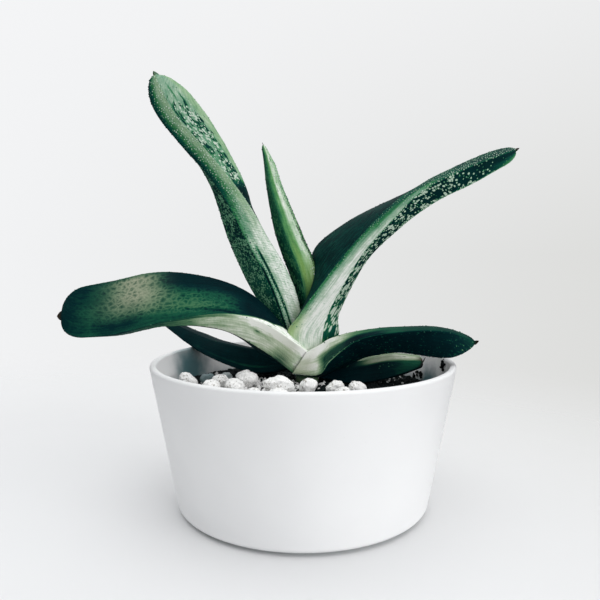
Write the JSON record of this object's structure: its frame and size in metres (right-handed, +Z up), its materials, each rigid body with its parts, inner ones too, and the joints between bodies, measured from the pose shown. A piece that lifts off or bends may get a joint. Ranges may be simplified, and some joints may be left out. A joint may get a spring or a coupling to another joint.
{
  "type": "potted gasteria succulent",
  "caption": "Ox-tongue succulent with thick, keeled, mottled tongue leaves on a short stem, in a low tapered white pot of dark soil topped with white marble pebbles.",
  "frame": {"origin": "centre of the pot's foot, on the surface that it stands on", "axes": "+Z up; +X to the right and +Y away from a viewer who faces the side with the two low leaves"},
  "size_m": [0.1894, 0.1296, 0.1883],
  "materials": {
    "pot_white": "satin",
    "soil_dark": "matte",
    "stem_green": "matte",
    "leaf_mottled": "satin",
    "leaf_young": "satin",
    "leaf_dark": "satin",
    "marble": "matte"
  },
  "bodies": {
    "root": {"back_left_leaf": "leaf_dark", "centre_spear_leaf": "leaf_young", "low_left_leaf": "leaf_dark", "low_right_leaf": "leaf_dark", "pebble_01": "marble", "pebble_02": "marble", "pebble_03": "marble", "pebble_04": "marble", "pebble_05": "marble", "pebble_06": "marble", "pebble_07": "marble", "pebble_08": "marble", "pebble_09": "marble", "pebble_10": "marble", "pebble_11": "marble", "pebble_12": "marble", "pebble_13": "marble", "pebble_14": "marble", "pebble_15": "marble", "pebble_16": "marble", "pebble_17": "marble", "pebble_18": "marble", "pebble_19": "marble", "pebble_20": "marble", "pebble_21": "marble", "pebble_22": "marble", "pebble_23": "marble", "pebble_24": "marble", "pebble_25": "marble", "pebble_26": "marble", "pebble_27": "marble", "pebble_28": "marble", "pebble_29": "marble", "pebble_30": "marble", "pebble_31": "marble", "pebble_32": "marble", "pebble_33": "marble", "pebble_34": "marble", "pebble_35": "marble", "pebble_36": "marble", "pebble_37": "marble", "pebble_38": "marble", "pebble_39": "marble", "pebble_40": "marble", "pebble_41": "marble", "pebble_42": "marble", "pebble_43": "marble", "pebble_44": "marble", "pebble_45": "marble", "pebble_46": "marble", "pebble_47": "marble", "pebble_48": "marble", "pot": "pot_white", "small_right_leaf": "leaf_dark", "soil": "soil_dark", "stem_with_roots": "stem_green", "tall_left_leaf": "leaf_mottled", "upper_right_leaf": "leaf_mottled"}
  },
  "joints": []
}
